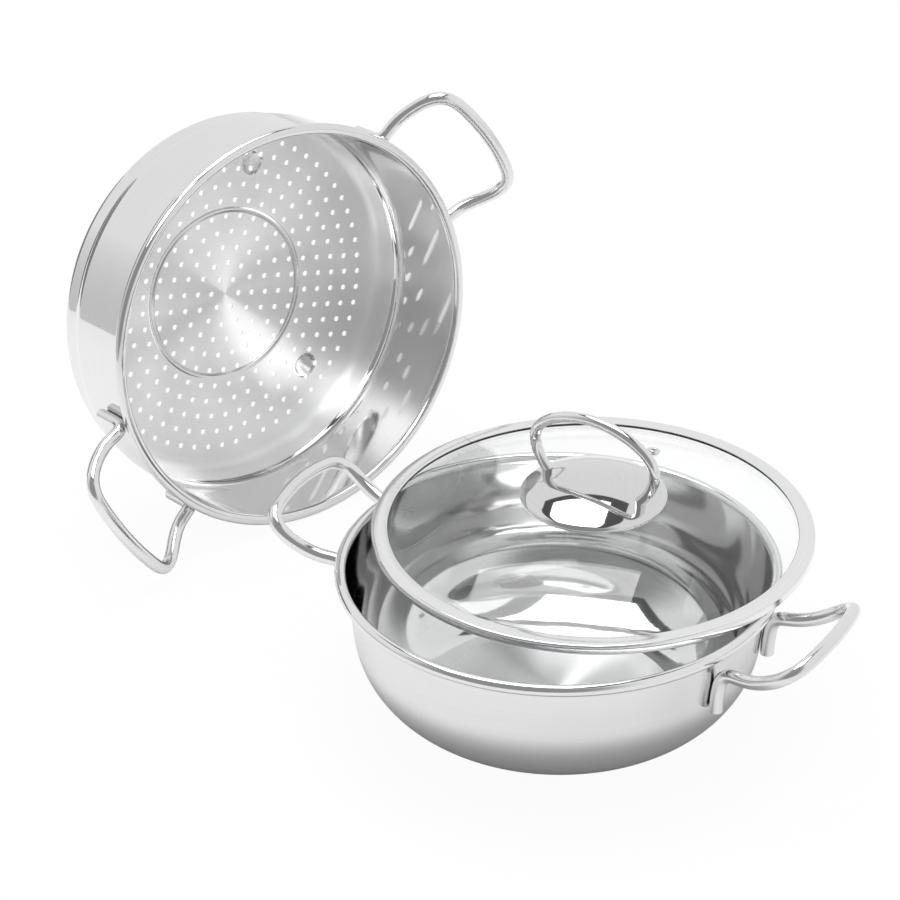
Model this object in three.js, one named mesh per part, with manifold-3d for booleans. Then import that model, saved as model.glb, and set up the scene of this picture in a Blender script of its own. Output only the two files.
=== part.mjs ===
// Steamer set: a low pot with its glass lid slid back, and a steamer tier lying on its side.
// Millimetres, +Z up. The origin is the middle of the pot's base on the table, and +X runs out
// through the pot's right handle.
import * as THREE from "three";
import { mergeGeometries, mergeVertices } from "three/addons/utils/BufferGeometryUtils.js";
import Module from "manifold-3d";

const wasm = await Module();
wasm.setup();

// Sizes that the pot, the tier and the lid share
const mouthRadius = 120;
const rollRadius = 3.35;
const sheet = 0.8;
const rodRadius = 4;
const seatGap = 0.3;
const weldGap = 0.3;
const elbowRadius = 5.6;
const legLength = 25.5;
const rimRadius = mouthRadius + 2 * rollRadius;
const wallRadius = mouthRadius + sheet;

// Pot
const potHeight = 92.4;
const potTaper = 4;
const potCurveHeight = 55.2;
const potFloorRadius = 60.4;
const baseCoreThickness = 2;
const baseCapSheet = 0.5;
const baseInset = 1;
const baseHeight = baseCoreThickness + baseCapSheet;
const baseCoreRadius = potFloorRadius - baseInset;
const potWaistRadius = wallRadius - potTaper;
const potWaistHeight = baseHeight + potCurveHeight;
const potHandle = {
  legSpread: 33.2,
  cornerSpread: 42,
  armLength: 47.6,
  cornerRun: 14,
  bow: 7.8,
  belowRim: 16,
  armAngle: -4.2,
  bendStart: 22.5,
  bendBlend: 7,
  bendAngle: 40.6,
};

// Steamer tier, measured from the upper face of its floor
const tierHeight = 80.2;
const skirtStep = 3.8;
const ledgeHeight = 24.2;
const ledgeDrop = 7;
const bottomBend = 6;
const floorMargin = 2.2;
const holePitch = 10;
const holeRadius = 1.7;
const holeRings = 10;
const holeStart = 13.95;
const grooveRadius = 54;
const grooveWidth = 4.4;
const grooveDepth = 1;
const footCount = 3;
const footCircle = 84;
const footStart = 37;
const footRadius = 7.8;
const footDepth = 3;
const skirtRadius = wallRadius - skirtStep;
const floorRadius = skirtRadius - sheet - bottomBend - floorMargin;
const tierHandle = {
  legSpread: 38.6,
  cornerSpread: 44.6,
  armLength: 44,
  cornerRun: 14.4,
  bow: 7.4,
  belowRim: 10.6,
  armAngle: -14.1,
  bendStart: 14.7,
  bendBlend: 5.2,
  bendAngle: 47.5,
};

// Where the tier lies: its floor's middle as seen from the pot, the way its mouth faces, how far
// the mouth looks up, and how far it has rolled round
const tierAway = 346;
const tierBearing = 154.6;
const tierHeading = -24.8;
const tierTilt = 7.5;
const tierRoll = 122.1;

// Lid, measured from the underside of its rim band
const lidOverhang = 0.3;
const lidAside = 2;
const lidBack = 38.7;
const bandSheet = 0.6;
const bandTopWidth = 9.5;
const bandBottomWidth = 8.5;
const bandRound = 2.6;
const glassThickness = 4;
const glassFlatWidth = 11;
const domeHeight = 28.8;
const glassHoleRadius = 4;
const ventCircle = 71.5;
const ventBearing = 87.8;
const ventBore = 1.6;
const ventSheet = 0.6;
const ventFlange = 4;
const lidRadius = rimRadius + lidOverhang;
const bandHeight = glassThickness + 2 * (bandSheet + seatGap);
const glassRadius = lidRadius - bandSheet - seatGap;
const glassTop = bandHeight - bandSheet - seatGap;
const domeRadius = lidRadius - glassFlatWidth;
const domeSag = domeHeight - glassTop;
const domeSphere = (domeRadius ** 2 + domeSag ** 2) / (2 * domeSag);
const ventHole = ventBore + ventSheet + seatGap;

// Knob
const knobTurn = -6.3;
const capRadius = 42;
const capEdge = 2.2;
const capRise = 10.4;
const loopRadius = 3.2;
const loopHalfWidth = 40.5;
const loopWidest = 52.3;
const loopApex = 74;
const loopFoot = 31;
const loopPower = 1.06;
const bossRadius = 6;
const sealRadius = 9;
const sealThickness = 1.5;
const washerRadius = 8;
const washerThickness = 1;
const screwRadius = 2.1;
const screwHeadRadius = 4.5;
const screwHeadHeight = 3;
const screwHeadEdge = 1;
const screwGap = 0.3;

// Steps round a full turn and along the curves
const shellSteps = 32;
const knobSteps = 24;
const smallSteps = 16;
const holeSides = 4;
const curveSteps = 5;
const flatShare = Math.cos(Math.PI / shellSteps);

const steel = { color: 0xd8d9da, metalness: 1, roughness: 0.16 };
const brushedSteel = { color: 0xcfd0d1, metalness: 1, roughness: 0.32 };
const aluminium = { color: 0xb9bbbd, metalness: 1, roughness: 0.45 };
const glass = { color: 0xe9eeee, metalness: 0, roughness: 0.04, transparent: true, opacity: 0.35 };
const silicone = { color: 0xeceae4, metalness: 0, roughness: 0.6 };

const radians = THREE.MathUtils.degToRad;
const slope = (degrees) => Math.tan(radians(degrees));
const point = (across, up) => new THREE.Vector2(across, up);

function solid(geometry) {
  const plain = geometry.clone();
  plain.deleteAttribute("normal");
  plain.deleteAttribute("uv");
  const merged = mergeVertices(plain, 1e-4);
  const vertProperties = merged.attributes.position.array;
  const triVerts = new Uint32Array(merged.index.array);
  return new wasm.Manifold(new wasm.Mesh({ numProp: 3, vertProperties, triVerts }));
}

function skin(body) {
  const mesh = body.getMesh();
  const made = new THREE.BufferGeometry();
  made.setAttribute("position", new THREE.BufferAttribute(mesh.vertProperties, 3));
  made.setIndex(new THREE.BufferAttribute(mesh.triVerts, 1));
  made.computeVertexNormals();
  return made;
}

// A profile turned round the Z axis, from the axis back to the axis or closed on itself
function turned(profile, steps = shellSteps) {
  return new THREE.LatheGeometry(profile, steps).rotateX(Math.PI / 2);
}

function ring(inner, outer, bottom, top, steps = smallSteps) {
  const first = point(inner, bottom);
  return turned([first, point(outer, bottom), point(outer, top), point(inner, top), first], steps);
}

function disc(radius, bottom, top, steps = shellSteps) {
  return turned([point(0, bottom), point(radius, bottom), point(radius, top), point(0, top)], steps);
}

function rod(points, radius, steps) {
  const section = new THREE.Shape();
  section.absarc(0, 0, radius, 0, 2 * Math.PI);
  const extrudePath = new THREE.CatmullRomCurve3(points, false, "centripetal");
  return new THREE.ExtrudeGeometry(section, { steps, extrudePath, curveSegments: 3, bevelEnabled: false });
}

function node(name, geometry, look) {
  const mesh = new THREE.Mesh(geometry, new THREE.MeshStandardMaterial(look));
  mesh.name = name;
  return mesh;
}

function arc(across, up, wide, high, from, to, steps) {
  const points = [];
  for (let i = 0; i <= steps; i++) {
    const angle = radians(from + ((to - from) * i) / steps);
    points.push(point(across + wide * Math.cos(angle), up + high * Math.sin(angle)));
  }
  return points;
}

// The rolled rim, from the inside of the wall over the top, round and back to the outside
function rolledRim(top) {
  const across = mouthRadius + rollRadius;
  const up = top - rollRadius;
  const hollow = rollRadius - sheet;
  const over = arc(across, up, rollRadius, rollRadius, 180, -90, 6);
  const under = arc(across, up, hollow, hollow, -90, 180, 3);
  return [...over, ...under];
}

// A bent rod handle: a leg up the wall, an elbow, an arm that dips and then bends up, a corner, a bowed
// bar, and the same again on the other side. The legs stand on the flats of the wall.
function handle(form, top, wallAt) {
  const level = top - form.belowRim;
  const seatAt = (up) => wallAt(up) * flatShare + weldGap + rodRadius;
  const centreAt = (up) => Math.sqrt(seatAt(up) ** 2 - form.legSpread ** 2);
  const start = centreAt(level);
  const corner = start + form.armLength;
  const arm = point(form.cornerSpread - form.legSpread, form.armLength).setLength(form.cornerRun);
  const bar = point(form.cornerSpread, form.bow).setLength(form.cornerRun);
  const armEnd = point(form.cornerSpread - arm.x, corner - arm.y);
  const barEnd = point(form.cornerSpread - bar.x, corner + bar.y);
  const plan = new THREE.Path();
  plan.moveTo(-form.legSpread, start);
  plan.lineTo(-armEnd.x, armEnd.y);
  plan.quadraticCurveTo(-form.cornerSpread, corner, -barEnd.x, barEnd.y);
  plan.quadraticCurveTo(0, corner + form.bow, barEnd.x, barEnd.y);
  plan.quadraticCurveTo(form.cornerSpread, corner, armEnd.x, armEnd.y);
  plan.lineTo(form.legSpread, start);
  const heightAt = (reach) => {
    const out = reach - start;
    const bend = form.bendBlend * Math.log1p(Math.exp((out - form.bendStart) / form.bendBlend));
    return level + out * slope(form.armAngle) + bend * slope(form.bendAngle);
  };
  const leg = [];
  for (let i = 0; i <= 3; i++) {
    const up = level - legLength + ((legLength - elbowRadius) * i) / 3;
    leg.push(new THREE.Vector3(centreAt(up), -form.legSpread, up));
  }
  const middle = plan
    .getSpacedPoints(40)
    .filter((p) => p.y > start + elbowRadius)
    .map((p) => new THREE.Vector3(p.y, p.x, heightAt(p.y)));
  const turn = elbowRadius * Math.SQRT1_2;
  const elbow = new THREE.Vector3(start + elbowRadius - turn, -form.legSpread, level - elbowRadius + turn);
  const firstHalf = [...leg, elbow];
  const secondHalf = firstHalf.map((p) => new THREE.Vector3(p.x, -p.y, p.z)).reverse();
  return rod([...firstHalf, ...middle, ...secondHalf], rodRadius, 30);
}

function handlePair(names, form, top, wallAt) {
  const geometry = handle(form, top, wallAt);
  return names.map((name, i) => {
    const mesh = node(name, geometry.clone(), steel);
    mesh.rotation.z = i * Math.PI;
    return mesh;
  });
}

// Pot
function potOutside(up) {
  if (up < potWaistHeight) {
    const fall = (potWaistHeight - up) / potCurveHeight;
    return potFloorRadius + (potWaistRadius - potFloorRadius) * Math.sqrt(1 - fall ** 2);
  }
  const rise = (up - potWaistHeight) / (potHeight - rollRadius - potWaistHeight);
  return potWaistRadius + (wallRadius - potWaistRadius) * rise;
}

function potBody() {
  const wide = potWaistRadius - potFloorRadius;
  const high = potCurveHeight;
  const inside = arc(potFloorRadius, potWaistHeight, wide - sheet, high - sheet, -90, 0, curveSteps);
  const outside = arc(potFloorRadius, potWaistHeight, wide, high, 0, -90, curveSteps);
  const rim = rolledRim(potHeight);
  const profile = [point(0, baseHeight + sheet), ...inside, ...rim, ...outside, point(0, baseHeight)];
  return turned(profile.reverse());
}

function potBaseCap() {
  const inner = baseCoreRadius + seatGap;
  const outer = inner + baseCapSheet;
  const edge = baseHeight - seatGap;
  return turned([
    point(0, 0),
    point(outer - baseCapSheet, 0),
    point(outer, baseCapSheet),
    point(outer, edge),
    point(inner, edge),
    point(inner, baseCapSheet),
    point(0, baseCapSheet),
  ]);
}

const pot = new THREE.Group();
pot.add(node("pot_body", potBody(), steel));
pot.add(node("pot_base_core", disc(baseCoreRadius, baseCapSheet, baseHeight), aluminium));
pot.add(node("pot_base_cap", potBaseCap(), brushedSteel));
pot.add(...handlePair(["pot_handle_right", "pot_handle_left"], potHandle, potHeight, potOutside));

// Steamer tier
function tierWall() {
  const bendCentre = skirtRadius - sheet - bottomBend;
  const edge = floorRadius + seatGap;
  const inside = arc(bendCentre, bottomBend, bottomBend, bottomBend, -90, 0, 3);
  const outside = arc(bendCentre, bottomBend, bottomBend + sheet, bottomBend + sheet, 0, -90, 3);
  const profile = [
    point(edge, 0),
    ...inside,
    point(skirtRadius - sheet, ledgeHeight - ledgeDrop),
    point(mouthRadius, ledgeHeight),
    ...rolledRim(tierHeight),
    point(wallRadius, ledgeHeight - sheet / 2),
    point(skirtRadius, ledgeHeight - ledgeDrop - sheet / 2),
    ...outside,
    point(edge, -sheet),
    point(edge, 0),
  ];
  return turned(profile.reverse());
}

// A pressed foot is a shallow round cup, so its outside and its hollow share one middle
function footCap(extra, top) {
  const sphere = (footRadius ** 2 + footDepth ** 2) / (2 * footDepth);
  const middle = sphere - footDepth;
  const radius = sphere + extra;
  const edge = THREE.MathUtils.radToDeg(Math.asin((top - middle) / radius));
  const cup = arc(0, middle, radius, radius, -90, edge, 3);
  return turned([...cup, point(0, top)], 14);
}

function atFeet(geometry) {
  const placed = [];
  for (let i = 0; i < footCount; i++) {
    const angle = radians(footStart + (360 * i) / footCount);
    placed.push(geometry.clone().translate(footCircle * Math.cos(angle), footCircle * Math.sin(angle), 0));
  }
  return solid(mergeGeometries(placed));
}

// Ring k of the perforation holds six holes for each step outwards, and all rings start on one line
function floorHoles() {
  const drill = new THREE.CylinderGeometry(holeRadius, holeRadius, 4 * footDepth, holeSides);
  drill.rotateX(Math.PI / 2);
  const holes = [];
  for (let k = 1; k <= holeRings; k++) {
    for (let i = 0; i < 6 * k; i++) {
      const angle = radians(holeStart + (60 * i) / k);
      const radius = k * holePitch;
      holes.push(drill.clone().translate(radius * Math.cos(angle), radius * Math.sin(angle), 0));
    }
  }
  return solid(mergeGeometries(holes));
}

function tierFloor() {
  const half = grooveWidth / 2;
  const plate = turned([
    point(0, -sheet),
    point(grooveRadius - half, -sheet),
    point(grooveRadius, -sheet - grooveDepth),
    point(grooveRadius + half, -sheet),
    point(floorRadius, -sheet),
    point(floorRadius, 0),
    point(grooveRadius + half, 0),
    point(grooveRadius, -grooveDepth),
    point(grooveRadius - half, 0),
    point(0, 0),
  ]);
  const withFeet = solid(plate).add(atFeet(footCap(sheet, -sheet / 2)));
  const pressed = withFeet.subtract(atFeet(footCap(0, sheet)));
  return skin(pressed.subtract(floorHoles()));
}

const tier = new THREE.Group();
tier.add(node("steamer_wall", tierWall(), steel));
tier.add(node("steamer_floor", tierFloor(), brushedSteel));
const tierOutside = () => wallRadius;
tier.add(...handlePair(["steamer_handle_right", "steamer_handle_left"], tierHandle, tierHeight, tierOutside));
tier.rotation.z = radians(tierRoll);
const tierLying = new THREE.Group();
tierLying.add(tier);
tierLying.rotation.set(0, radians(90 - tierTilt), radians(tierHeading), "ZYX");
tierLying.position.x = tierAway * Math.cos(radians(tierBearing));
tierLying.position.y = tierAway * Math.sin(radians(tierBearing));
// The tier is set down until its lowest point is on the table
tierLying.position.z = -new THREE.Box3().setFromObject(tierLying, true).min.z;

// Lid
function domeAt(across, inset = 0) {
  return domeHeight - domeSphere + Math.sqrt((domeSphere - inset) ** 2 - across ** 2);
}

function domeLine(from, to, inset) {
  const points = [];
  for (let i = 0; i <= curveSteps; i++) {
    const across = from + ((to - from) * i) / curveSteps;
    points.push(point(across, domeAt(across, inset)));
  }
  return points;
}

function lidBand() {
  const across = lidRadius - bandRound;
  const up = bandHeight - bandRound;
  const inner = bandRound - bandSheet;
  const first = point(lidRadius - bandBottomWidth, 0);
  return turned([
    first,
    point(lidRadius, 0),
    ...arc(across, up, bandRound, bandRound, 0, 90, 3),
    point(lidRadius - bandTopWidth, bandHeight),
    point(lidRadius - bandTopWidth, bandHeight - bandSheet),
    ...arc(across, up, inner, inner, 90, 0, 2),
    point(lidRadius - bandSheet, bandSheet),
    point(lidRadius - bandBottomWidth, bandSheet),
    first,
  ]);
}

function ventPlaced(geometry) {
  const bearing = radians(ventBearing);
  const lean = Math.asin(ventCircle / domeSphere);
  geometry.rotateY(lean);
  geometry.translate(ventCircle, 0, domeAt(ventCircle));
  return geometry.rotateZ(bearing);
}

function lidGlass() {
  const glassBottom = glassTop - glassThickness;
  const underRise = domeSphere - domeHeight + glassBottom;
  const underRadius = Math.sqrt((domeSphere - glassThickness) ** 2 - underRise ** 2);
  const first = point(glassHoleRadius, domeAt(glassHoleRadius));
  const dome = turned([
    ...domeLine(glassHoleRadius, underRadius, glassThickness),
    point(glassRadius, glassBottom),
    point(glassRadius, glassTop - bandRound),
    point(glassRadius - bandRound, glassTop),
    ...domeLine(domeRadius, glassHoleRadius, 0),
    point(glassHoleRadius, domeAt(glassHoleRadius, glassThickness)),
  ]);
  const drill = new THREE.CylinderGeometry(ventHole, ventHole, 4 * glassThickness, smallSteps);
  drill.rotateX(Math.PI / 2);
  return skin(solid(dome).subtract(solid(ventPlaced(drill))));
}

function ventEyelet() {
  const tube = ventBore + ventSheet;
  const top = seatGap + ventSheet;
  const bottom = -glassThickness - seatGap - ventSheet;
  const first = point(ventBore, bottom);
  return ventPlaced(
    turned(
      [
        first,
        point(ventFlange - ventSheet, bottom),
        point(ventFlange - ventSheet, bottom + ventSheet),
        point(tube, bottom + ventSheet),
        point(tube, seatGap),
        point(ventFlange, seatGap),
        point(ventFlange - ventSheet / 2, top),
        point(ventBore, top),
        first,
      ],
      smallSteps,
    ),
  );
}

// Knob
const capFoot = domeAt(capRadius) + seatGap;
const capShoulder = capFoot + capEdge;
const capApex = capShoulder + capRise;
const capSphere = (capRadius ** 2 + capRise ** 2) / (2 * capRise);
const capAt = (across, inset) => capApex - capSphere + Math.sqrt((capSphere - inset) ** 2 - across ** 2);

function capLine(from, to, inset) {
  const points = [];
  for (let i = 0; i <= 4; i++) {
    const across = from + ((to - from) * i) / 4;
    points.push(point(across, capAt(across, inset)));
  }
  return points;
}

function knobCap() {
  const inner = capRadius - sheet;
  const outside = capLine(0, capRadius - capEdge / 2, 0).reverse();
  const inside = capLine(0, inner - capEdge / 2, sheet);
  const foot = [point(inner, capFoot), point(capRadius, capFoot)];
  const edge = [...foot, point(capRadius, capShoulder - capEdge / 4)];
  return turned([...inside, ...edge, ...outside], knobSteps);
}

function knobLoop() {
  const points = [];
  const legTop = loopWidest - capAt(loopFoot, 0);
  const legRun = loopHalfWidth - loopFoot;
  for (let i = -3; i <= 15; i++) {
    const angle = (Math.PI * i) / 12;
    const side = Math.sign(Math.cos(angle));
    const across = side * loopHalfWidth * Math.abs(Math.cos(angle)) ** loopPower;
    const rise = (loopApex - loopWidest) * Math.abs(Math.sin(angle)) ** loopPower;
    const below = -Math.sin(angle) / Math.sin(Math.PI / 4);
    const legAcross = side * (loopHalfWidth - legRun * below ** 2);
    const onLeg = i < 0 || i > 12;
    const up = onLeg ? loopWidest - legTop * below : loopWidest + rise;
    points.push(new THREE.Vector3(onLeg ? legAcross : across, 0, up));
  }
  const clear = turned(
    [point(0, 0), point(capRadius, 0), ...capLine(capRadius - capEdge / 2, 0, -weldGap)],
    knobSteps,
  );
  return skin(solid(rod(points, loopRadius, 26)).subtract(solid(clear)));
}

const upperSeal = domeHeight + seatGap;
const bossFoot = upperSeal + sealThickness + seatGap;
const bossTop = capAt(bossRadius, sheet) - seatGap;
const lowerSeal = domeAt(sealRadius, glassThickness) - seatGap - sealThickness;
const washerFoot = lowerSeal - seatGap - washerThickness;
const headTop = washerFoot - seatGap;
const boreRadius = screwRadius + screwGap;

function knobScrew() {
  const headFoot = headTop - screwHeadHeight;
  const tip = bossTop - washerThickness;
  return turned(
    [
      point(0, headFoot),
      point(screwHeadRadius - screwHeadEdge, headFoot),
      point(screwHeadRadius, headFoot + screwHeadEdge),
      point(screwHeadRadius, headTop),
      point(screwRadius, headTop),
      point(screwRadius, tip),
      point(0, tip),
    ],
    smallSteps,
  );
}

const knob = new THREE.Group();
knob.add(node("lid_knob_cap", knobCap(), steel));
knob.add(node("lid_knob_loop", knobLoop(), steel));
knob.add(node("lid_knob_boss", ring(boreRadius, bossRadius, bossFoot, bossTop), steel));
const seal = (foot) => ring(boreRadius, sealRadius, foot, foot + sealThickness);
const washer = ring(boreRadius, washerRadius, washerFoot, washerFoot + washerThickness);
knob.add(node("lid_knob_seal_upper", seal(upperSeal), silicone));
knob.add(node("lid_knob_seal_lower", seal(lowerSeal), silicone));
knob.add(node("lid_knob_washer", washer, steel));
knob.add(node("lid_knob_screw", knobScrew(), steel));
knob.rotation.z = radians(knobTurn);

const lid = new THREE.Group();
lid.add(node("lid_glass", lidGlass(), glass));
lid.add(node("lid_rim_band", lidBand(), steel));
lid.add(node("lid_vent_eyelet", ventEyelet(), steel));
lid.add(knob);
lid.position.set(lidAside, lidBack, potHeight + seatGap);

const steamerSet = new THREE.Group();
steamerSet.add(pot, tierLying, lid);
export default steamerSet;
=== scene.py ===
import math
import bpy
from mathutils import Matrix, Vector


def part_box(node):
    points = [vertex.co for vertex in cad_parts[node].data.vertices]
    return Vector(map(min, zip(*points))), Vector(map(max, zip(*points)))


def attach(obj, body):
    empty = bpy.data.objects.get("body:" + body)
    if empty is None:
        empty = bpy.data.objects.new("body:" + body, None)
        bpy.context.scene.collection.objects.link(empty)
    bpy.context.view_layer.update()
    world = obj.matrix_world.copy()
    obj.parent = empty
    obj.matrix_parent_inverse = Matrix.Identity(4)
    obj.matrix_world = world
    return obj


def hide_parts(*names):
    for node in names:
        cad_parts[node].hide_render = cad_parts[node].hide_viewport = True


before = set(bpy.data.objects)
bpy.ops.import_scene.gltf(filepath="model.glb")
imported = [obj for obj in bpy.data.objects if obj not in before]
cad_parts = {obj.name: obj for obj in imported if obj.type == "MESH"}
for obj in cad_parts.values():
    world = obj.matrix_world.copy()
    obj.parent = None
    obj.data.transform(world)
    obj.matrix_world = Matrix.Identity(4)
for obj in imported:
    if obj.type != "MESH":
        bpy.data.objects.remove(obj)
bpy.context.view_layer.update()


# Pot body: one round of stainless sheet drawn into a low bowl. The wall flares a little to the mouth
# and its edge is rolled outwards into a bead. Polished like a mirror inside and more softly outside,
# with the floor brushed in circles.
mouth = 0.120
sheet = 0.0008
roll = 0.00335
pot_height = 0.0924
pot_floor = 0.0033
pot_floor_radius = 0.0604
pot_waist = 0.1160
pot_waist_height = 0.0577
pot_brushed_radius = 0.0690
first_ring = 0.004


def arc(across, up, wide, high, start, end, steps):
    points = []
    for i in range(steps + 1):
        angle = math.radians(start + (end - start) * i / steps)
        points.append((across + wide * math.cos(angle), up + high * math.sin(angle)))
    return points


def line(start, end, steps):
    return [tuple(a + (b - a) * i / steps for a, b in zip(start, end)) for i in range(steps + 1)]


def eased(points, passes):
    """The same points with their kinks drawn out, and both ends kept."""
    for _ in range(passes):
        inner = [tuple((a + 2 * b + c) / 4 for a, b, c in zip(*three))
                 for three in zip(points, points[1:], points[2:])]
        points = [points[0], *inner, points[-1]]
    return points


def rolled_rim(top):
    return arc(mouth + roll, top - roll, roll, roll, 180, -110, 28)


def turn_section(name, section, sides, filled=True):
    """A section taken round the Z axis, ring by ring, from its first point to its last."""
    bpy.ops.object.select_all(action="DESELECT")
    radius, height = section[0]
    bpy.ops.mesh.primitive_circle_add(vertices=sides, radius=radius, location=(0, 0, height),
                                      fill_type="TRIFAN" if filled else "NOTHING")
    piece = bpy.context.object
    piece.name = name
    bpy.ops.object.transform_apply(location=True, rotation=True, scale=True)
    bpy.ops.object.mode_set(mode="EDIT")
    bpy.ops.mesh.select_mode(type="EDGE")
    bpy.ops.mesh.select_all(action="SELECT")
    if filled:
        bpy.ops.mesh.region_to_loop()
    for (near, low), (far, high) in zip(section, section[1:]):
        bpy.ops.mesh.extrude_edges_move(TRANSFORM_OT_translate={"value": (0, 0, high - low)})
        bpy.ops.transform.resize(value=(far / near, far / near, 1), center_override=(0, 0, 0))
    bpy.ops.mesh.select_all(action="SELECT")
    bpy.ops.mesh.remove_doubles(threshold=1e-6)
    bpy.ops.mesh.normals_make_consistent(inside=False)
    bpy.ops.object.mode_set(mode="OBJECT")
    return piece


def face_middle(piece, upwards):
    """Turns a dish's faces so that those at its middle look up or down."""
    middle = min(piece.data.polygons, key=lambda face: face.center.xy.length)
    if (middle.normal.z > 0) != upwards:
        bpy.ops.object.mode_set(mode="EDIT")
        bpy.ops.mesh.select_all(action="SELECT")
        bpy.ops.mesh.flip_normals()
        bpy.ops.object.mode_set(mode="OBJECT")


def thicken(piece, thickness):
    """Gives a sheet its thickness behind its faces; the new side takes the second finish."""
    bpy.ops.object.modifier_add(type="SOLIDIFY")
    modifier = piece.modifiers[-1]
    modifier.thickness = thickness
    modifier.offset = -1
    modifier.use_even_offset = True
    modifier.material_offset = 1
    bpy.ops.object.modifier_apply(modifier=modifier.name)


def pick(piece):
    """Makes a piece the only one that the next operators act on."""
    bpy.ops.object.select_all(action="DESELECT")
    piece.select_set(True)
    bpy.context.view_layer.objects.active = piece


def smooth(piece, angle=35):
    pick(piece)
    bpy.ops.object.shade_smooth_by_angle(angle=math.radians(angle))


def join(tree, kind, inputs=(), **settings):
    """A new node with its settings made and its inputs set or linked."""
    node = tree.nodes.new(kind)
    for key, value in settings.items():
        setattr(node, key, value)
    for key, value in dict(inputs).items():
        if isinstance(value, bpy.types.NodeSocket):
            tree.links.new(value, node.inputs[key])
        else:
            node.inputs[key].default_value = value
    return node


lines_per_metre = 1500
smudges_per_metre = 26
spun_marks = bpy.data.node_groups.new("spun_marks", "ShaderNodeTree")
spun_marks.interface.new_socket(name="Vector", in_out="INPUT", socket_type="NodeSocketVector")
spun_marks.interface.new_socket(name="Smudge", in_out="OUTPUT", socket_type="NodeSocketFloat")
spun_marks.interface.new_socket(name="Lines", in_out="OUTPUT", socket_type="NodeSocketFloat")
entry = join(spun_marks, "NodeGroupInput")
split = join(spun_marks, "ShaderNodeSeparateXYZ", {0: entry.outputs["Vector"]})
flat = join(spun_marks, "ShaderNodeVectorMath", {0: entry.outputs["Vector"], 1: (1, 1, 0)},
            operation="MULTIPLY")
reach = join(spun_marks, "ShaderNodeVectorMath", {0: flat.outputs[0]}, operation="LENGTH")
fine_reach = join(spun_marks, "ShaderNodeMath", {0: reach.outputs["Value"], 1: lines_per_metre},
                  operation="MULTIPLY")
fine_height = join(spun_marks, "ShaderNodeMath", {0: split.outputs["Z"], 1: lines_per_metre},
                   operation="MULTIPLY")
bearing = join(spun_marks, "ShaderNodeMath", {0: split.outputs["Y"], 1: split.outputs["X"]},
               operation="ARCTAN2")
unrolled = join(spun_marks, "ShaderNodeCombineXYZ",
                {0: fine_reach.outputs[0], 1: fine_height.outputs[0], 2: bearing.outputs[0]})
lines = join(spun_marks, "ShaderNodeTexNoise", {"Vector": unrolled.outputs[0], "Scale": 1.0, "Detail": 3.0})
smudge = join(spun_marks, "ShaderNodeTexNoise",
              {"Vector": entry.outputs["Vector"], "Scale": smudges_per_metre, "Detail": 1.0})
join(spun_marks, "NodeGroupOutput", {"Smudge": smudge.outputs[0], "Lines": lines.outputs[0]})


def steel(name, tone, roughness, depth=0.02, place=(0, 0, 0), turn=(0, 0, 0), grain="Lines"):
    """Polished stainless steel, with faint lines round its axis or a soft unevenness as its grain."""
    material = bpy.data.materials.new(name)
    material.use_nodes = True
    tree = material.node_tree
    shader = tree.nodes["Principled BSDF"]
    shader.inputs["Metallic"].default_value = 1
    where = join(tree, "ShaderNodeTexCoord")
    local = join(tree, "ShaderNodeMapping",
                 {"Vector": where.outputs["Object"], "Location": place, "Rotation": turn},
                 vector_type="TEXTURE")
    marks = join(tree, "ShaderNodeGroup", node_tree=spun_marks)
    tree.links.new(local.outputs[0], marks.inputs["Vector"])
    shade = join(tree, "ShaderNodeValToRGB", {0: marks.outputs[grain]})
    shade.color_ramp.elements[0].color = (tone * 0.97, tone * 0.97, tone * 0.97, 1)
    shade.color_ramp.elements[1].color = (tone * 1.02, tone * 1.02, tone * 1.03, 1)
    shade.color_ramp.elements[0].position = 0.3
    shade.color_ramp.elements[1].position = 0.7
    finish = join(tree, "ShaderNodeMapRange",
                  {"Value": marks.outputs["Smudge"], "From Min": 0.3, "From Max": 0.7,
                   "To Min": roughness * 0.93, "To Max": roughness * 1.07})
    bump = join(tree, "ShaderNodeBump",
                {"Height": marks.outputs[grain], "Strength": depth, "Distance": 0.0002})
    tree.links.new(shade.outputs[0], shader.inputs["Base Color"])
    tree.links.new(finish.outputs[0], shader.inputs["Roughness"])
    tree.links.new(bump.outputs[0], shader.inputs["Normal"])
    return material


def brushed_steel(name, tone, roughness, spread=1.0, depth=0.12, place=(0, 0, 0), turn=(0, 0, 0)):
    """Steel brushed in circles round its axis, so that its shine fans out across the lines."""
    material = steel(name, tone, roughness, depth, place, turn)
    tree = material.node_tree
    shader = tree.nodes["Principled BSDF"]
    shader.inputs["Anisotropic"].default_value = spread
    shader.inputs["Anisotropic Rotation"].default_value = 0.25
    local = next(node for node in tree.nodes if node.type == "MAPPING")
    round_axis = join(tree, "ShaderNodeVectorMath", {0: (0, 0, 1), 1: local.outputs[0]},
                      operation="CROSS_PRODUCT")
    along = join(tree, "ShaderNodeMapping", {"Vector": round_axis.outputs[0], "Rotation": turn},
                 vector_type="VECTOR")
    tree.links.new(along.outputs[0], shader.inputs["Tangent"])
    return material


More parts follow.
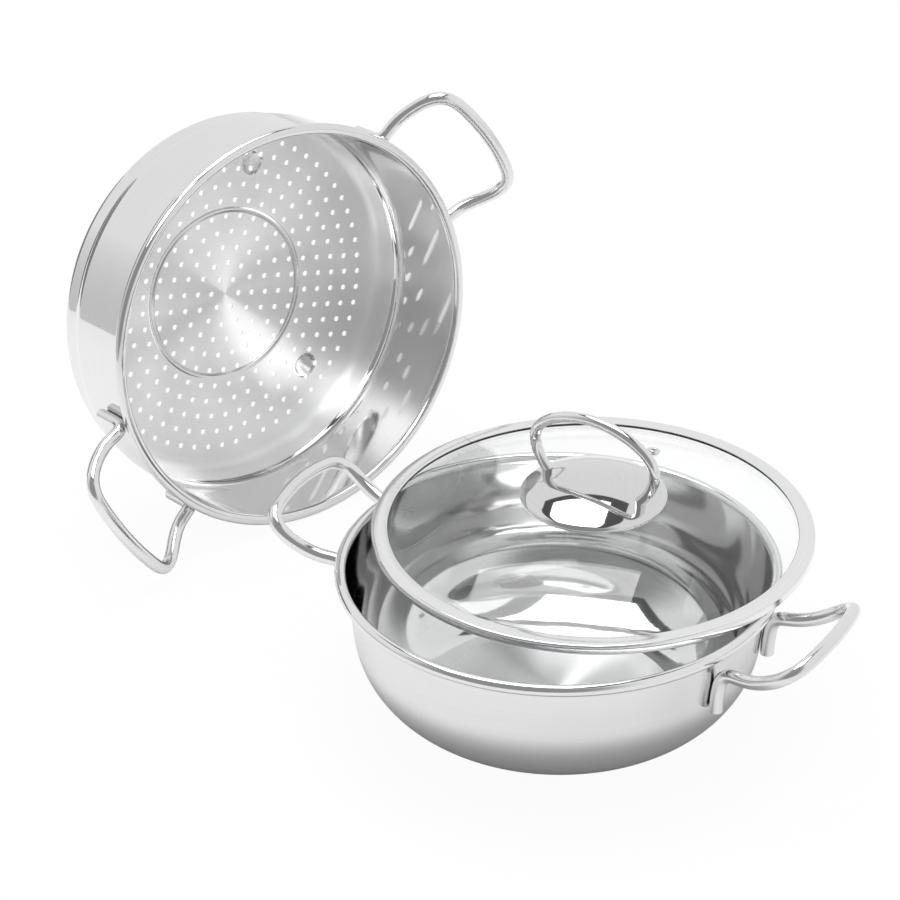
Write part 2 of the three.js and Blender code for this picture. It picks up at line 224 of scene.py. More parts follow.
pot_curve = arc(pot_floor_radius, pot_waist_height, pot_waist - pot_floor_radius,
                pot_waist_height - pot_floor, -90, 0, 34)
pot_wall = line((pot_waist, pot_waist_height), (mouth, pot_height - roll), 16)
pot_section = line((first_ring, pot_floor), (pot_floor_radius, pot_floor), 10)[:-1]
pot_section += eased(pot_curve + pot_wall[1:], 6)
pot_section += rolled_rim(pot_height)[1:]
pot_body = turn_section("pot_body_sheet", pot_section, 160)
face_middle(pot_body, upwards=True)
pot_body.data.materials.append(brushed_steel("pot_inside", tone=0.80, roughness=0.07, spread=0.5,
                                             depth=0.01))
pot_body.data.materials.append(steel("pot_outside", tone=0.78, roughness=0.13))
pot_body.data.materials.append(brushed_steel("pot_floor_brushed", tone=0.96, roughness=0.36))
thicken(pot_body, sheet)
for face in pot_body.data.polygons:
    if face.material_index == 0 and face.center.xy.length < pot_brushed_radius and face.normal.z > 0.5:
        face.material_index = 2
smooth(pot_body)
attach(pot_body, "pot")
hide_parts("pot_body")


# Pot base: an aluminium disc that spreads the heat, closed by a thin steel dish pressed over it from
# below. The dish is brushed in circles and its edge is turned up round the disc.
base_radius = 0.0602
base_sheet = 0.0005
base_edge = 0.0022
base_turn = 0.0008

base_section = line((first_ring, 0), (base_radius - base_turn, 0), 10)
base_section += arc(base_radius - base_turn, base_turn, base_turn, base_turn, -90, 0, 6)[1:]
base_section += [(base_radius, base_edge)]
pot_base = turn_section("pot_base_dish", base_section, 128)
face_middle(pot_base, upwards=False)
pot_base.data.materials.append(brushed_steel("pot_base_brushed", tone=0.66, roughness=0.40))
thicken(pot_base, base_sheet)
smooth(pot_base)
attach(pot_base, "pot")
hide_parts("pot_base_cap")
base_aluminium = steel("base_aluminium", tone=0.62, roughness=0.42, depth=0.1)
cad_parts["pot_base_core"].data.materials[0] = base_aluminium


# Pot handles: 8 mm stainless rod, bent cold and polished. Each has two legs that lie on the wall and
# are welded there, two arms that bend upwards, and a bowed bar for the hand.
rod = 0.004
leg_length = 0.0255
elbow = 0.0056
weld_gap = 0.00005


def curve_between(start, control, end, steps):
    points = []
    for i in range(steps + 1):
        t = i / steps
        points.append(tuple((1 - t) ** 2 * a + 2 * t * (1 - t) * b + t * t * c
                            for a, b, c in zip(start, control, end)))
    return points


def handle_path(top, wall_at, spread, corner_spread, corner_run, arm, bow, below_rim, arm_angle, bend_start,
                bend_blend, bend_angle):
    """The middle line of one handle, from one leg's foot round to the other's."""
    level = top - below_rim

    def out_at(up):
        return math.sqrt((wall_at(up) + rod + weld_gap) ** 2 - spread ** 2)

    start = out_at(level)
    corner = start + arm
    lean = math.hypot(corner_spread - spread, arm)
    arm_end = (corner_spread - (corner_spread - spread) / lean * corner_run,
               corner - arm / lean * corner_run)
    fall = math.hypot(corner_spread, bow)
    bar_end = (corner_spread - corner_spread / fall * corner_run, corner + bow / fall * corner_run)
    plan = line((spread, start + elbow), arm_end, 14)[:-1]
    plan += curve_between(arm_end, (corner_spread, corner), bar_end, 14)[:-1]
    plan += curve_between(bar_end, (0, corner + bow), (-bar_end[0], bar_end[1]), 24)[:13]

    def rise(reach):
        out = reach - start
        bend = bend_blend * math.log1p(math.exp((out - bend_start) / bend_blend))
        return level + out * math.tan(math.radians(arm_angle)) + bend * math.tan(math.radians(bend_angle))

    half = [(out_at(up), spread, up) for up in
            (level - leg_length + (leg_length - elbow) * i / 8 for i in range(9))]
    turn = [(start + elbow * (1 - math.cos(math.radians(a))), spread,
             level - elbow + elbow * math.sin(math.radians(a))) for a in range(15, 90, 15)]
    half += turn + [(reach, side, rise(reach)) for side, reach in plan]
    other = [(x, -y, z) for x, y, z in reversed(half[:-1])]
    return eased(half + other, 6)


def bend_rod(name, path, radius):
    """Round rod along a path, with the edges of its two ends rounded."""
    bpy.ops.object.select_all(action="DESELECT")
    bpy.ops.curve.primitive_bezier_curve_add(location=(0, 0, 0))
    piece = bpy.context.object
    piece.name = name
    wire = piece.data
    wire.splines.clear()
    spline = wire.splines.new("POLY")
    spline.points.add(len(path) - 1)
    for knot, place in zip(spline.points, path):
        knot.co = (*place, 1)
    wire.dimensions = "3D"
    wire.bevel_depth = radius
    wire.bevel_resolution = 6
    wire.use_fill_caps = True
    bpy.ops.object.convert(target="MESH")
    bpy.ops.object.mode_set(mode="EDIT")
    bpy.ops.mesh.select_mode(type="FACE")
    bpy.ops.mesh.select_all(action="SELECT")
    bpy.ops.mesh.remove_doubles(threshold=1e-6)
    bpy.ops.mesh.normals_make_consistent(inside=False)
    bpy.ops.mesh.select_all(action="DESELECT")
    bpy.ops.object.mode_set(mode="OBJECT")
    for face in piece.data.polygons:
        face.select = len(face.vertices) > 4
    bpy.ops.object.mode_set(mode="EDIT")
    bpy.ops.mesh.bevel(offset=radius * 0.3, segments=3, affect="EDGES")
    bpy.ops.object.mode_set(mode="OBJECT")
    return piece


def copy_piece(piece, name):
    """A copy with a mesh of its own."""
    twin = piece.copy()
    twin.data = piece.data.copy()
    twin.name = name
    bpy.context.collection.objects.link(twin)
    return twin


def put(piece, place):
    """Moves a piece to its place and leaves the place in its mesh."""
    pick(piece)
    piece.matrix_world = place
    bpy.ops.object.transform_apply(location=True, rotation=True, scale=True)


def pot_wall_at(up):
    share = (up - pot_waist_height) / (pot_height - roll - pot_waist_height)
    return pot_waist + sheet + (mouth - pot_waist) * max(share, 0)


def half_turn():
    return Matrix.Rotation(math.pi, 4, "Z")


rod_steel = steel("rod_polished", tone=0.78, roughness=0.14, depth=0.004, grain="Smudge")
pot_handle = bend_rod("pot_handle_rod_right", handle_path(
    pot_height, pot_wall_at, spread=0.0332, corner_spread=0.0420, corner_run=0.0140, arm=0.0476,
    bow=0.0078, below_rim=0.0160, arm_angle=-4.2, bend_start=0.0225, bend_blend=0.0070,
    bend_angle=40.6), rod)
pot_handle.data.materials.append(rod_steel)
smooth(pot_handle, 50)
pot_handle_twin = copy_piece(pot_handle, "pot_handle_rod_left")
put(pot_handle_twin, half_turn())
for piece, node in ((pot_handle, "pot_handle_right"), (pot_handle_twin, "pot_handle_left")):
    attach(piece, "pot")
    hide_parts(node)


# Steamer tier: drawn from one sheet, with a rolled rim, a ledge that sits in the pot's mouth, a
# narrower skirt, and a floor punched with ten rings of holes. A ring groove and three round feet are
# pressed into the floor, which is brushed in circles on both sides. The top of the groove and feet is
# given a darker steel as painted shade for these hollows.
tier_height = 0.0802
skirt = 0.1162
skirt_top = 0.0160
ledge = 0.0255
ledge_round = 0.0126
bottom_bend = 0.006
groove_radius = 0.054
groove_half = 0.0022
groove_depth = 0.0010
beyond_groove = 0.060
foot_circle = 0.084
foot_zone = 0.0095
foot_start = 37
foot_radius = 0.0078
foot_depth = 0.003
foot_margin = 0.0015
hole_rings = 10
hole_pitch = 0.010
hole_radius = 0.0017
hole_start = 13.95
brushed_to = 0.0165
tier_place = (-0.312554, 0.148412, 0.116610)
tier_heading = math.radians(-24.8)
tier_lean = math.radians(82.5)
tier_roll = math.radians(122.1)
tier_lying = (Matrix.Translation(tier_place) @ Matrix.Rotation(tier_heading, 4, "Z")
              @ Matrix.Rotation(tier_lean, 4, "Y") @ Matrix.Rotation(tier_roll, 4, "Z"))

tier_section = line((first_ring, 0), (groove_radius - groove_half, 0), 8)[:-1]
for i in range(13):
    step = -1 + i / 6
    dip = groove_depth * (1 + math.cos(math.pi * step)) / 2
    tier_section.append((groove_radius + groove_half * step, -dip))
tier_section += line((beyond_groove, 0), (foot_circle - foot_zone, 0), 4)
tier_section += line((foot_circle - foot_zone, 0), (foot_circle + foot_zone, 0), 12)[1:]
tier_section += line((foot_circle + foot_zone, 0), (skirt - bottom_bend, 0), 4)[1:-1]
tier_section += arc(skirt - bottom_bend, bottom_bend, bottom_bend, bottom_bend, -90, 0, 12)
tier_side = line((skirt, bottom_bend), (skirt, skirt_top), 10)[1:]
tier_side += arc(mouth - ledge_round, ledge, ledge_round, ledge_round, -45, 0, 20)
tier_side += line((mouth, ledge), (mouth, tier_height - roll), 40)[1:]
tier_section += eased(tier_side, 2)
tier_section += rolled_rim(tier_height)[1:]
tier_body = turn_section("tier_sheet", tier_section, 160)
face_middle(tier_body, upwards=True)

feet = [(foot_circle * math.cos(math.radians(foot_start + 120 * i)),
         foot_circle * math.sin(math.radians(foot_start + 120 * i))) for i in range(3)]


def from_foot(point):
    """How far a point of the flat floor lies from the middle of the nearest foot."""
    return min(math.hypot(point.x - x, point.y - y) for x, y in feet) if abs(point.z) < 0.001 else 1


bpy.ops.object.mode_set(mode="EDIT")
bpy.ops.mesh.select_mode(type="FACE")
bpy.ops.mesh.select_all(action="DESELECT")
bpy.ops.object.mode_set(mode="OBJECT")
for face in tier_body.data.polygons:
    face.select = from_foot(face.center) < foot_radius + foot_margin
bpy.ops.object.mode_set(mode="EDIT")
bpy.ops.mesh.subdivide(number_cuts=3)
bpy.ops.object.mode_set(mode="OBJECT")
for vertex in tier_body.data.vertices:
    near = from_foot(vertex.co) / foot_radius
    if near < 1:
        vertex.co.z -= foot_depth * (1 - near ** 2) ** 1.3

tier_axis = {"place": tier_place, "turn": (0, tier_lean, tier_heading)}
inner_finish, floor_finish, pressed_shade_finish, under_finish = 0, 2, 3, 4
for finish in (
        brushed_steel("tier_inside", tone=0.76, roughness=0.06, spread=0.5, depth=0.01, **tier_axis),
        steel("tier_outside", tone=0.78, roughness=0.05, **tier_axis),
        brushed_steel("tier_floor_brushed", tone=0.97, roughness=0.40, depth=0.10, **tier_axis),
        # painted shade: a darker steel for the pressed groove and feet
        steel("tier_pressed_painted_shade", tone=0.70, roughness=0.14, depth=0.01, **tier_axis),
        brushed_steel("tier_underside", tone=0.74, roughness=0.34, depth=0.10, **tier_axis)):
    tier_body.data.materials.append(finish)
thicken(tier_body, sheet)


def cut_away(piece, tool):
    """Cuts the tool's shape out of the piece and throws the tool away."""
    pick(piece)
    bpy.ops.object.modifier_add(type="BOOLEAN")
    piece.modifiers[-1].object = tool
    piece.modifiers[-1].operation = "DIFFERENCE"
    piece.modifiers[-1].solver = "MANIFOLD"
    bpy.ops.object.modifier_apply(modifier=piece.modifiers[-1].name)
    bpy.data.objects.remove(tool)


hole_places = []
for ring in range(1, hole_rings + 1):
    for i in range(6 * ring):
        angle = math.radians(hole_start + 60 * i / ring)
        hole_places.append((ring * hole_pitch * math.cos(angle), ring * hole_pitch * math.sin(angle), 0))
pin = {"vertices": 16, "radius": hole_radius, "depth": 0.016}
bpy.ops.object.select_all(action="DESELECT")
bpy.ops.mesh.primitive_cylinder_add(location=hole_places[0], **pin)
punch = bpy.context.object
bpy.ops.object.transform_apply(location=True, rotation=True, scale=True)
bpy.ops.object.mode_set(mode="EDIT")
for place in hole_places[1:]:
    bpy.ops.mesh.primitive_cylinder_add(location=place, **pin)
bpy.ops.object.mode_set(mode="OBJECT")
cut_away(tier_body, punch)
for face in tier_body.data.polygons:
    across = face.center.xy.length
    if across < skirt - bottom_bend and face.center.z < 0.002:
        pressed = from_foot(face.center) < foot_radius or abs(across - groove_radius) < groove_half
        if face.normal.z < -0.5:
            face.material_index = under_finish
        # the pressed groove and feet take the darker steel, painted shade for their hollows
        elif pressed and face.normal.z > 0:
            face.material_index = pressed_shade_finish
        else:
            face.material_index = floor_finish
    elif face.material_index == inner_finish and face.center.z < brushed_to:
        face.material_index = floor_finish
put(tier_body, tier_lying)
smooth(tier_body, 30)
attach(tier_body, "steamer")
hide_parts("steamer_wall", "steamer_floor")


# Tier handles: the same 8 mm rod as the pot's, welded higher up and bent more steeply, so that they
# stand clear of the pot's handles when the set is stacked.
tier_handle = bend_rod("tier_handle_rod_right", handle_path(
    tier_height, lambda up: mouth + sheet, spread=0.0386, corner_spread=0.0446, corner_run=0.0144,
    arm=0.0440, bow=0.0074, below_rim=0.0106, arm_angle=-14.1, bend_start=0.0147, bend_blend=0.0052,
    bend_angle=47.5), rod)
tier_handle.data.materials.append(rod_steel)
smooth(tier_handle, 50)
tier_handle_twin = copy_piece(tier_handle, "tier_handle_rod_left")
put(tier_handle, tier_lying)
put(tier_handle_twin, tier_lying @ half_turn())
for piece, node in ((tier_handle, "steamer_handle_right"), (tier_handle_twin, "steamer_handle_left")):
    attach(piece, "steamer")
    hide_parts(node)


# Lid glass: a round of tempered glass pressed into a low dome with a flat edge. It has a hole at its
# middle for the knob's screw and a small one at the back for the steam vent.
lid_radius = 0.1270
lid_place = (0.002, 0.0387, 0.0927)
glass_radius = 0.1261
glass_edge = 0.002
glass_top = 0.0049
glass_bottom = 0.0009
dome_radius = 0.1160
dome_height = 0.0288
dome_sphere = (dome_radius ** 2 + (dome_height - glass_top) ** 2) / (2 * (dome_height - glass_top))
glass_hole = 0.004
vent_circle = 0.0715
vent_bearing = math.radians(87.8)
vent_hole = 0.0025
glass_thickness = 0.004


def dome_at(across, inset=0):
    return dome_height - dome_sphere + math.sqrt((dome_sphere - inset) ** 2 - across ** 2)


def lid_set(turn=0):
    return Matrix.Translation(lid_place) @ Matrix.Rotation(turn, 4, "Z")


def vent_set():
    lean = math.asin(vent_circle / dome_sphere)
    return (lid_set(vent_bearing) @ Matrix.Translation((vent_circle, 0, dome_at(vent_circle)))
            @ Matrix.Rotation(lean, 4, "Y"))


under_rise = dome_sphere - dome_height + glass_bottom
under_radius = math.sqrt((dome_sphere - glass_thickness) ** 2 - under_rise ** 2)
upper_line = [(across, dome_at(across)) for across, _ in line((glass_hole, 0), (dome_radius, 0), 30)]
upper_line += line((dome_radius, glass_top), (glass_radius - glass_edge, glass_top), 4)[1:]
upper_line = eased(upper_line, 3)
edge_line = arc(glass_radius - glass_edge, glass_top - glass_edge, glass_edge, glass_edge, 90, -90, 12)[1:]
lower_line = line((glass_radius - glass_edge, glass_bottom), (under_radius, glass_bottom), 4)
lower_line += [(across, dome_at(across, glass_thickness))
               for across, _ in line((under_radius, 0), (glass_hole, 0), 30)][1:]
lower_line = eased(lower_line, 3)
glass_section = upper_line + edge_line + lower_line[1:] + [upper_line[0]]
lid_glass = turn_section("lid_dome_glass", glass_section, 144, filled=False)
clear_glass = bpy.data.materials.new("clear_glass")
clear_glass.use_nodes = True
tree = clear_glass.node_tree
shader = tree.nodes["Principled BSDF"]
shader.inputs["Transmission Weight"].default_value = 1
shader.inputs["IOR"].default_value = 1.46
shader.inputs["Roughness"].default_value = 0
where = join(tree, "ShaderNodeTexCoord")
ripple = join(tree, "ShaderNodeTexNoise", {"Vector": where.outputs["Object"], "Scale": 45.0, "Detail": 1.0})
tint = join(tree, "ShaderNodeValToRGB", {0: ripple.outputs[0]})
tint.color_ramp.elements[0].color = (0.965, 0.975, 0.972, 1)
tint.color_ramp.elements[1].color = (0.985, 0.99, 0.988, 1)
bump = join(tree, "ShaderNodeBump", {"Height": ripple.outputs[0], "Strength": 0.03, "Distance": 0.0004})
tree.links.new(tint.outputs[0], shader.inputs["Base Color"])
tree.links.new(bump.outputs[0], shader.inputs["Normal"])
lid_glass.data.materials.append(clear_glass)
put(lid_glass, lid_set())
bpy.ops.object.select_all(action="DESELECT")
bpy.ops.mesh.primitive_cylinder_add(vertices=32, radius=vent_hole, depth=0.02)
vent_drill = bpy.context.object
put(vent_drill, vent_set())
cut_away(lid_glass, vent_drill)
smooth(lid_glass)
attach(lid_glass, "lid")
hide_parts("lid_glass")


# Lid band: a strip of thin stainless sheet folded round the glass's edge, over it and under it, with
# its two ends butted at one seam. Polished, with the cut edge on the glass left dull and painted dark
# grey: partly duller cut steel, partly painted shade for the dark gap line along the glass.
band_sheet = 0.0006
band_height = 0.0058
band_top_width = 0.0095
band_bottom_width = 0.0085
band_round = 0.0016
band_foot_round = 0.0010
band_lip = lid_radius - band_top_width + band_sheet / 2
seam_bearing = math.radians(155)

band_outside = [(lid_radius - band_bottom_width, 0)]
band_outside += arc(lid_radius - band_foot_round, band_foot_round, band_foot_round, band_foot_round,
                    -90, 0, 5)
band_outside += arc(lid_radius - band_round, band_height - band_round, band_round, band_round, 0, 90, 10)
band_outside += arc(band_lip, band_height - band_sheet / 2, band_sheet / 2, band_sheet / 2, 90, 270, 5)
inner_round = band_round - band_sheet
band_inside = arc(lid_radius - band_round, band_height - band_round, inner_round, inner_round, 90, 0, 6)
band_inside += [(lid_radius - band_sheet, band_sheet), (lid_radius - band_bottom_width, band_sheet)]
lid_band = turn_section("lid_band_strip", band_outside + band_inside + band_outside[:1], 144, filled=False)
lid_band.data.materials.append(steel("band_polished", tone=0.84, roughness=0.13, depth=0.004,
                                     place=lid_place))
# painted shade: the cut edge's dark grey also stands in for the shadowed gap along the glass
lid_band.data.materials.append(steel("band_cut_edge_painted_shade", tone=0.22, roughness=0.45, place=lid_place))
for face in lid_band.data.polygons:
    if face.center.xy.length < band_lip and face.center.z > band_height / 2:
        face.material_index = 1
bpy.ops.object.select_all(action="DESELECT")
bpy.ops.mesh.primitive_cube_add(size=1, location=(lid_radius, 0, band_height))
seam = bpy.context.object
seam.scale = (0.025, 0.00025, 0.009)
put(seam, Matrix.Rotation(seam_bearing, 4, "Z") @ seam.matrix_basis)
cut_away(lid_band, seam)
put(lid_band, lid_set())
smooth(lid_band)
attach(lid_band, "lid")
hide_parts("lid_rim_band")


# Vent eyelet: a small tube of thin steel pushed through the glass and spread to a flange on both
# sides, where it holds itself.
vent_bore = 0.0016
vent_sheet = 0.0006
vent_flange = 0.0040
vent_gap = 0.00005

vent_top = vent_gap + vent_sheet
vent_foot = -glass_thickness - vent_gap - vent_sheet
eyelet_section = arc(vent_bore + vent_sheet, vent_top - vent_sheet, vent_sheet, vent_sheet, 180, 90, 5)
eyelet_section += arc(vent_flange - vent_sheet, vent_gap, vent_sheet, vent_sheet, 90, 0, 5)[1:]
eyelet_section += [(vent_bore + vent_sheet, vent_gap), (vent_bore + vent_sheet, vent_foot + vent_sheet)]
eyelet_section += [(vent_flange - vent_sheet, vent_foot + vent_sheet), (vent_flange - vent_sheet, vent_foot)]
eyelet_section += [(vent_bore, vent_foot), eyelet_section[0]]
eyelet = turn_section("lid_vent_tube", eyelet_section, 40, filled=False)
put(eyelet, vent_set())
eyelet.data.materials.append(steel("eyelet_polished", tone=0.74, roughness=0.10))
smooth(eyelet)
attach(eyelet, "lid")
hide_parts("lid_vent_eyelet")


# Knob fixings: a threaded steel boss under the dome, a milky silicone ring on each side of the glass,
# and a washer and pan head screw that clamp them from below.
knob_turn = math.radians(-6.3)
bore = 0.0024
head_radius = 0.0045
head_round = 0.0015
head_gap = 0.0001
shank_radius = 0.0021
tip_radius = 0.0015
tip_length = 0.0006


def ring_piece(name, inner, outer, low, high, edge, sides=48):
    section = [(inner, low)]
    section += arc(outer - edge, low + edge, edge, edge, -90, 0, 4)
    section += arc(outer - edge, high - edge, edge, edge, 0, 90, 4)
    section += [(inner, high), (inner, low)]
    piece = turn_section(name, section, sides, filled=False)
    put(piece, lid_set(knob_turn))
    smooth(piece)
    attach(piece, "lid")
    return piece


def node_heights(node):
    low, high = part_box(node)
    return low.z - lid_place[2], high.z - lid_place[2]


milky = bpy.data.materials.new("milky_silicone")
milky.use_nodes = True
tree = milky.node_tree
where = join(tree, "ShaderNodeTexCoord")
cloud = join(tree, "ShaderNodeTexNoise", {"Vector": where.outputs["Object"], "Scale": 400.0, "Detail": 3.0})
tint = join(tree, "ShaderNodeValToRGB", {0: cloud.outputs[0]})
tint.color_ramp.elements[0].color = (0.74, 0.73, 0.70, 1)
tint.color_ramp.elements[1].color = (0.83, 0.82, 0.79, 1)
dull = join(tree, "ShaderNodeMapRange", {"Value": cloud.outputs[0], "To Min": 0.45, "To Max": 0.6})
tree.links.new(tint.outputs[0], tree.nodes["Principled BSDF"].inputs["Base Color"])
tree.links.new(dull.outputs[0], tree.nodes["Principled BSDF"].inputs["Roughness"])
fixing_steel = steel("fixing_steel", tone=0.70, roughness=0.18, depth=0.05, place=lid_place)
for name, node, outer, edge, finish, slot in (
        ("knob_boss_turned", "lid_knob_boss", 0.006, 0.0005, fixing_steel, "polished_steel"),
        ("knob_seal_above", "lid_knob_seal_upper", 0.009, 0.0005, milky, "silicone"),
        ("knob_seal_below", "lid_knob_seal_lower", 0.009, 0.0005, milky, "silicone"),
        ("knob_washer_flat", "lid_knob_washer", 0.008, 0.0003, fixing_steel, "polished_steel")):
    low, high = node_heights(node)
    fixing = ring_piece(name, bore, outer, low, high, edge)
    fixing.data.materials.append(finish)
    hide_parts(node)

screw_low, screw_high = node_heights("lid_knob_screw")
head_top = node_heights("lid_knob_washer")[0] - head_gap
screw_section = [(0.001, screw_low)]
screw_section += arc(head_radius - head_round, screw_low + head_round, head_round, head_round, -90, 0, 6)
screw_section += [(head_radius, head_top), (shank_radius, head_top)]
screw_section += [(shank_radius, screw_high - tip_length), (tip_radius, screw_high), (0.0002, screw_high)]
screw = turn_section("knob_screw_turned", screw_section, 40)
bpy.ops.object.mode_set(mode="EDIT")
bpy.ops.mesh.select_mode(type="EDGE")
bpy.ops.mesh.select_all(action="DESELECT")
bpy.ops.mesh.select_non_manifold()
bpy.ops.mesh.fill()
bpy.ops.mesh.select_all(action="SELECT")
bpy.ops.mesh.normals_make_consistent(inside=False)
bpy.ops.object.mode_set(mode="OBJECT")
screw.data.materials.append(fixing_steel)
for turn in (0, math.pi / 2):
    bpy.ops.object.select_all(action="DESELECT")
    bpy.ops.mesh.primitive_cube_add(size=1, location=(0, 0, screw_low))
    driver_slot = bpy.context.object
    driver_slot.scale = (0.0052, 0.0010, 0.0030)
    driver_slot.rotation_euler = (0, 0, turn)
    cut_away(screw, driver_slot)
put(screw, lid_set(knob_turn))
smooth(screw)
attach(screw, "lid")
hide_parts("lid_knob_screw")


# Knob cap: a shallow dome pressed from steel sheet and mirror polished, its edge turned down to stand
# on the glass. It hides the screw and carries the loop.
cap_radius = 0.042
cap_foot = dome_at(cap_radius) + 0.0002
cap_shoulder = cap_foot + 0.0023
cap_rise = 0.0104
cap_apex = cap_shoulder + cap_rise
cap_sphere = (cap_radius ** 2 + cap_rise ** 2) / (2 * cap_rise)
cap_corner = 0.0008


def cap_at(across):
    return cap_apex - cap_sphere + math.sqrt(cap_sphere ** 2 - across ** 2)


cap_side = [(across, cap_at(across)) for across, _ in line((0.0015, 0), (cap_radius - cap_corner, 0), 40)]
cap_side += line((cap_radius, cap_shoulder - cap_corner), (cap_radius, cap_foot), 4)
cap_section = cap_side[:34] + eased(cap_side[34:], 2)
knob_cap = turn_section("knob_dome_sheet", cap_section, 128)
face_middle(knob_cap, upwards=True)
knob_cap.data.materials.append(steel("dome_mirror", tone=0.71, roughness=0.05, depth=0.001, place=lid_place))
thicken(knob_cap, sheet)
put(knob_cap, lid_set(knob_turn))
smooth(knob_cap)
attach(knob_cap, "lid")
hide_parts("lid_knob_cap")


# Knob loop: 6.4 mm stainless rod bent to a flat arch for the hand, both feet turned in and welded to
# the dome.
loop_rod = 0.0032
loop_half = 0.0405
loop_widest = 0.0523
loop_apex = 0.074
loop_foot = 0.031
loop_power = 1.06
weld_sink = 0.001

leg_top = loop_widest - cap_at(loop_foot) + weld_sink
loop_path = []
for i in range(-24, 121):
    angle = math.pi * i / 96
    side = math.copysign(1, math.cos(angle))
    below = -math.sin(angle) / math.sin(math.pi / 4)
    if below > 0:
        across = loop_half - (loop_half - loop_foot) * below ** 2
        up = loop_widest - leg_top * below
    else:
        across = loop_half * abs(math.cos(angle)) ** loop_power
        up = loop_widest + (loop_apex - loop_widest) * abs(math.sin(angle)) ** loop_power
    loop_path.append((side * across, 0, up))
knob_loop = bend_rod("knob_loop_rod", eased(loop_path, 6), loop_rod)
put(knob_loop, lid_set(knob_turn))
knob_loop.data.materials.append(steel("loop_polished", tone=0.78, roughness=0.07, depth=0.004,
                                      place=lid_place, grain="Smudge"))
smooth(knob_loop, 50)
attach(knob_loop, "lid")
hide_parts("lid_knob_loop")


# Table: a wide matt white board that the set stands on. The camera sees it as white with the set's soft
# shadow. Its colour has a painted shadow: it is painted darker close to the pot, for the shade below the
# curved wall.
table_heading = math.radians(29)
table_shift = (1.59, 0, 0)
table_size = (4.82, 8, 1)
table_tone = 0.84
painted_shadow_to = 0.100
open_from = 0.168
painted_shadow_tone = 0.60
white_share = 0.955
mirrored_share = 0.1

bpy.ops.object.select_all(action="DESELECT")
bpy.ops.mesh.primitive_plane_add(size=1)
table = bpy.context.object
table.name = "table"
table.scale = table_size
put(table, Matrix.Rotation(table_heading, 4, "Z") @ Matrix.Translation(table_shift) @ table.matrix_basis)
table_white = bpy.data.materials.new("table_white")
table_white.use_nodes = True
tree = table_white.node_tree
shader = tree.nodes["Principled BSDF"]
shader.inputs["Roughness"].default_value = 0.9
where = join(tree, "ShaderNodeTexCoord")
flat = join(tree, "ShaderNodeVectorMath", {0: where.outputs["Object"], 1: (1, 1, 0)}, operation="MULTIPLY")
reach = join(tree, "ShaderNodeVectorMath", {0: flat.outputs[0]}, operation="LENGTH")
# painted shadow: the board's colour is darkened close to the pot, standing in for the shade below its wall
under = join(tree, "ShaderNodeMapRange",
             {"Value": reach.outputs["Value"], "From Min": painted_shadow_to, "From Max": open_from,
              "To Min": painted_shadow_tone, "To Max": 1.0}, interpolation_type="SMOOTHSTEP")
white = join(tree, "ShaderNodeMath", {0: under.outputs[0], 1: table_tone}, operation="MULTIPLY")
tree.links.new(white.outputs[0], shader.inputs["Base Color"])
path = join(tree, "ShaderNodeLightPath")
direct = join(tree, "ShaderNodeMath", {0: path.outputs["Is Camera Ray"], 1: white_share},
              operation="MULTIPLY")
mirrored = join(tree, "ShaderNodeMath", {0: path.outputs["Is Glossy Ray"], 1: mirrored_share},
                operation="MULTIPLY")
# the same painted shadow darkens the board's glow where the steel mirrors it
mirrored = join(tree, "ShaderNodeMath", {0: mirrored.outputs[0], 1: under.outputs[0]},
                operation="MULTIPLY")
seen = join(tree, "ShaderNodeMath", {0: direct.outputs[0], 1: mirrored.outputs[0]}, operation="MAXIMUM")
glow = join(tree, "ShaderNodeEmission", {"Strength": 1.0})
mixed = join(tree, "ShaderNodeMixShader", {0: seen.outputs[0], 1: shader.outputs[0], 2: glow.outputs[0]})
tree.links.new(mixed.outputs[0], tree.nodes["Material Output"].inputs["Surface"])
table.data.materials.append(table_white)


# Lights: a large soft box hangs over the set in a dark frame, and a second one beside the camera is
# flagged so that it lights the tier alone. A round grey card stands far out on the left. The frame and
# the card are there for the steel and the glass to mirror.
box_turn = (0, 0, math.radians(16.5))
box_place = (-0.399, 0.218, 1.50)
box_size = (0.92, 1.02)
box_power = 12.5
frame_place = (-0.373, 0.208, 1.53)
frame_size = (1.45, 1.48, 1)
frame_tone = 0.11
card_place = (-1.786, 0.4345, 0.065)
card_turn = (math.radians(90), 0, math.radians(79))
card_radius = 0.56
card_tone = 0.36
flagged_place = (-0.0425, -0.935, 1.654)
flagged_turn = (math.radians(36), 0, math.radians(14))
flagged_size = (1.3, 0.7)
flagged_power = 13.0


def only_mirrored(card, finish, tone):
    """Paints a card grey and hides it from all but shiny and clear things."""
    paint = bpy.data.materials.new(finish)
    paint.use_nodes = True
    paint.node_tree.nodes["Principled BSDF"].inputs["Base Color"].default_value = (tone, tone, tone, 1)
    card.data.materials.append(paint)
    card.visible_camera = False
    card.visible_diffuse = False
    card.visible_shadow = False


def soft_light(name, place, turn, size, power):
    bpy.ops.object.light_add(type="AREA", location=place, rotation=turn)
    light = bpy.context.object
    light.name = name
    light.data.shape = "RECTANGLE"
    light.data.size, light.data.size_y = size
    light.data.energy = power
    light.visible_camera = False
    return light


bpy.ops.object.select_all(action="DESELECT")
bpy.ops.mesh.primitive_plane_add(size=1, location=frame_place, rotation=box_turn)
box_frame = bpy.context.object
box_frame.name = "soft_box_frame"
box_frame.scale = frame_size
only_mirrored(box_frame, "frame_dark", frame_tone)

bpy.ops.object.select_all(action="DESELECT")
bpy.ops.mesh.primitive_circle_add(vertices=48, radius=card_radius, fill_type="NGON", location=card_place,
                                  rotation=card_turn)
dark_card = bpy.context.object
dark_card.name = "dark_card"
only_mirrored(dark_card, "card_grey", card_tone)

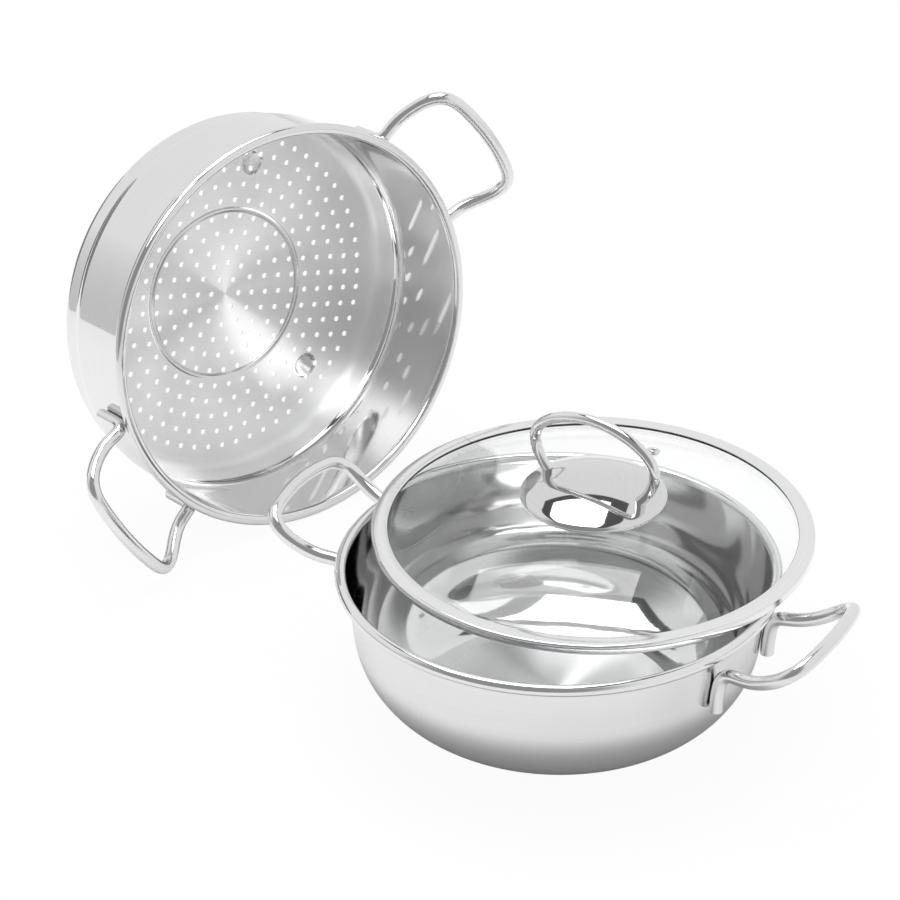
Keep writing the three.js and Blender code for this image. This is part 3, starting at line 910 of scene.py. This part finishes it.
soft_light("soft_box", box_place, box_turn, box_size, box_power)
floor_box = soft_light("floor_box", flagged_place, flagged_turn, flagged_size, flagged_power)
flagged = bpy.data.collections.new("lit_by_floor_box")
flagged.objects.link(tier_body)
floor_box.light_linking.receiver_collection = flagged


# Room: the steel mirrors a pale room that is darker behind the camera and low on the left. Its ceiling
# lights the set more than its walls, and the camera sees it as plain white, also through the glass.
behind_camera = (0.056, -0.838, 0.543)
low_left = (-0.862, -0.478, -0.174)
pale_wall = 0.92
dark_wall = 0.32
corner_loss = 0.34
wall_light = 0.2
ceiling_light = 1.15

world = bpy.data.worlds.new("studio_white")
bpy.context.scene.world = world
world.use_nodes = True
tree = world.node_tree
sky = tree.nodes["Background"]
path = join(tree, "ShaderNodeLightPath")
where = join(tree, "ShaderNodeTexCoord")
behind = join(tree, "ShaderNodeVectorMath", {0: where.outputs["Generated"], 1: behind_camera},
              operation="DOT_PRODUCT")
room = join(tree, "ShaderNodeMapRange",
            {"Value": behind.outputs["Value"], "From Min": 0.50, "From Max": 0.86,
             "To Min": pale_wall, "To Max": dark_wall}, interpolation_type="SMOOTHSTEP")
leftwards = join(tree, "ShaderNodeVectorMath", {0: where.outputs["Generated"], 1: low_left},
                 operation="DOT_PRODUCT")
wall = join(tree, "ShaderNodeMapRange",
            {"Value": leftwards.outputs["Value"], "From Min": 0.8, "From Max": 1.0,
             "To Min": 0.0, "To Max": corner_loss})
shade = join(tree, "ShaderNodeMath", {0: room.outputs[0], 1: wall.outputs[0]}, operation="SUBTRACT")
height = join(tree, "ShaderNodeSeparateXYZ", {0: where.outputs["Generated"]})
overhead = join(tree, "ShaderNodeMapRange",
                {"Value": height.outputs["Z"], "To Min": wall_light, "To Max": ceiling_light})
direct = join(tree, "ShaderNodeMath",
              {0: path.outputs["Is Camera Ray"], 1: path.outputs["Is Transmission Ray"]},
              operation="MAXIMUM")
bright = join(tree, "ShaderNodeMath", {0: overhead.outputs[0], 1: direct.outputs[0]}, operation="MAXIMUM")
plain = join(tree, "ShaderNodeMix",
             {"Factor": path.outputs["Is Glossy Ray"], "A": bright.outputs[0], "B": shade.outputs[0]},
             data_type="FLOAT")
tree.links.new(plain.outputs[0], sky.inputs["Color"])


# Camera: a long lens on a high stand, which looks down over the set from the front right.
bpy.ops.object.camera_add(location=(0.87775, -1.70984, 1.2856),
                          rotation=(math.radians(59.8), 0, math.radians(29)))
camera = bpy.context.object
camera.data.lens = 159.92
camera.data.sensor_width = 36
camera.data.clip_end = 50
bpy.context.scene.camera = camera
bpy.context.scene.view_settings.view_transform = "Standard"
